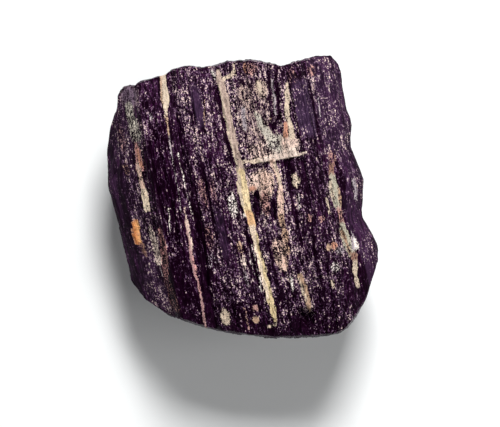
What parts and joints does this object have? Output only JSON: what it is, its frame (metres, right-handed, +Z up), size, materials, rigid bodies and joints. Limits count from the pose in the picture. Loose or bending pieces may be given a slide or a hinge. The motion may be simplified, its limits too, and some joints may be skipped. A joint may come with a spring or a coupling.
{
  "type": "rough tourmaline crystal",
  "caption": "Rough chunk of black tourmaline: parallel striated crystals grown as one stone, with broken ends, pale seams and a flat back it lies on.",
  "frame": {"origin": "under the middle of the stone's box, on the plane that its flat back rests on", "axes": "+Y along the crystals (their striations), +X across them, +Z up out of the striated front face"},
  "size_m": [0.0424, 0.0484, 0.0241],
  "materials": {
    "schorl": "satin"
  },
  "bodies": {
    "root": {"tourmaline_crystal": "schorl"}
  },
  "joints": []
}
